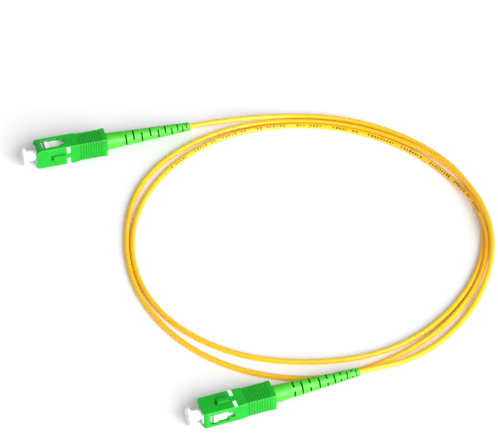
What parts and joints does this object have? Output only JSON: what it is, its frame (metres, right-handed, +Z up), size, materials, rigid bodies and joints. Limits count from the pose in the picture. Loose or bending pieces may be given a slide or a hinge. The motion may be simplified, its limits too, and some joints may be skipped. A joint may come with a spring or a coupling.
{
  "type": "fiber optic patch cord",
  "caption": "Simplex fibre optic patch cord with a push-pull angled-polish plug, flex boot and dust cap on each end of a loosely looped yellow cable.",
  "frame": {"origin": "on the table, at the middle of the box round the two connectors", "axes": "+Z up from the table, +Y across the coil from the near connector to the far one, +X to the right, the way the cable leaves both boots"},
  "size_m": [0.1793, 0.1638, 0.009],
  "materials": {
    "yellow_jacket": "satin",
    "aramid": "matte",
    "buffer_plastic": "satin",
    "glass": "polished",
    "clear_white_cap": "gloss",
    "zirconia": "polished",
    "nickel_metal": "satin",
    "spring_steel": "satin",
    "white_plastic": "satin",
    "green_plastic": "satin",
    "mark_paint": "matte",
    "green_boot": "satin"
  },
  "bodies": {
    "root": {"cable_jacket": "yellow_jacket", "aramid_yarn": "aramid", "tight_buffer": "buffer_plastic", "glass_fibre": "glass", "spring_a": "spring_steel", "plug_frame_a": "white_plastic", "stop_ring_a": "nickel_metal", "guide_tube_a": "buffer_plastic", "yarn_collar_a": "aramid", "crimp_sleeve_a": "nickel_metal", "boot_a": "green_boot", "spring_b": "spring_steel", "plug_frame_b": "white_plastic", "stop_ring_b": "nickel_metal", "guide_tube_b": "buffer_plastic", "yarn_collar_b": "aramid", "crimp_sleeve_b": "nickel_metal", "boot_b": "green_boot"},
    "grip_body_a": {"grip_a": "green_plastic", "depth_marks_a": "mark_paint"},
    "ferrule_body_a": {"ferrule_a": "zirconia", "ferrule_flange_a": "nickel_metal", "fibre_stub_a": "glass"},
    "cap_body_a": {"dust_cap_a": "clear_white_cap"},
    "grip_body_b": {"grip_b": "green_plastic", "depth_marks_b": "mark_paint"},
    "ferrule_body_b": {"ferrule_b": "zirconia", "ferrule_flange_b": "nickel_metal", "fibre_stub_b": "glass"},
    "cap_body_b": {"dust_cap_b": "clear_white_cap"}
  },
  "joints": [
    {"name": "grip_slide_a", "type": "slide", "parent": "root", "child": "grip_body_a", "axis": [0.9659, 0.2588, 0], "range_m": [0, 0.0013]},
    {"name": "ferrule_push_a", "type": "slide", "parent": "root", "child": "ferrule_body_a", "axis": [0.9659, 0.2588, 0], "range_m": [0, 0.001], "stiffness_N_per_m": 1000, "springref_m": -0.002, "deforming": ["spring_a"]},
    {"name": "cap_pull_a", "type": "slide", "parent": "root", "child": "cap_body_a", "axis": [-0.9659, -0.2588, 0], "range_m": [0, 0.012]},
    {"name": "grip_slide_b", "type": "slide", "parent": "root", "child": "grip_body_b", "axis": [0.9415, 0.3371, 0], "range_m": [0, 0.0013]},
    {"name": "ferrule_push_b", "type": "slide", "parent": "root", "child": "ferrule_body_b", "axis": [0.9415, 0.3371, 0], "range_m": [0, 0.001], "stiffness_N_per_m": 1000, "springref_m": -0.002, "deforming": ["spring_b"]},
    {"name": "cap_pull_b", "type": "slide", "parent": "root", "child": "cap_body_b", "axis": [-0.9415, -0.3371, 0], "range_m": [0, 0.012]}
  ]
}
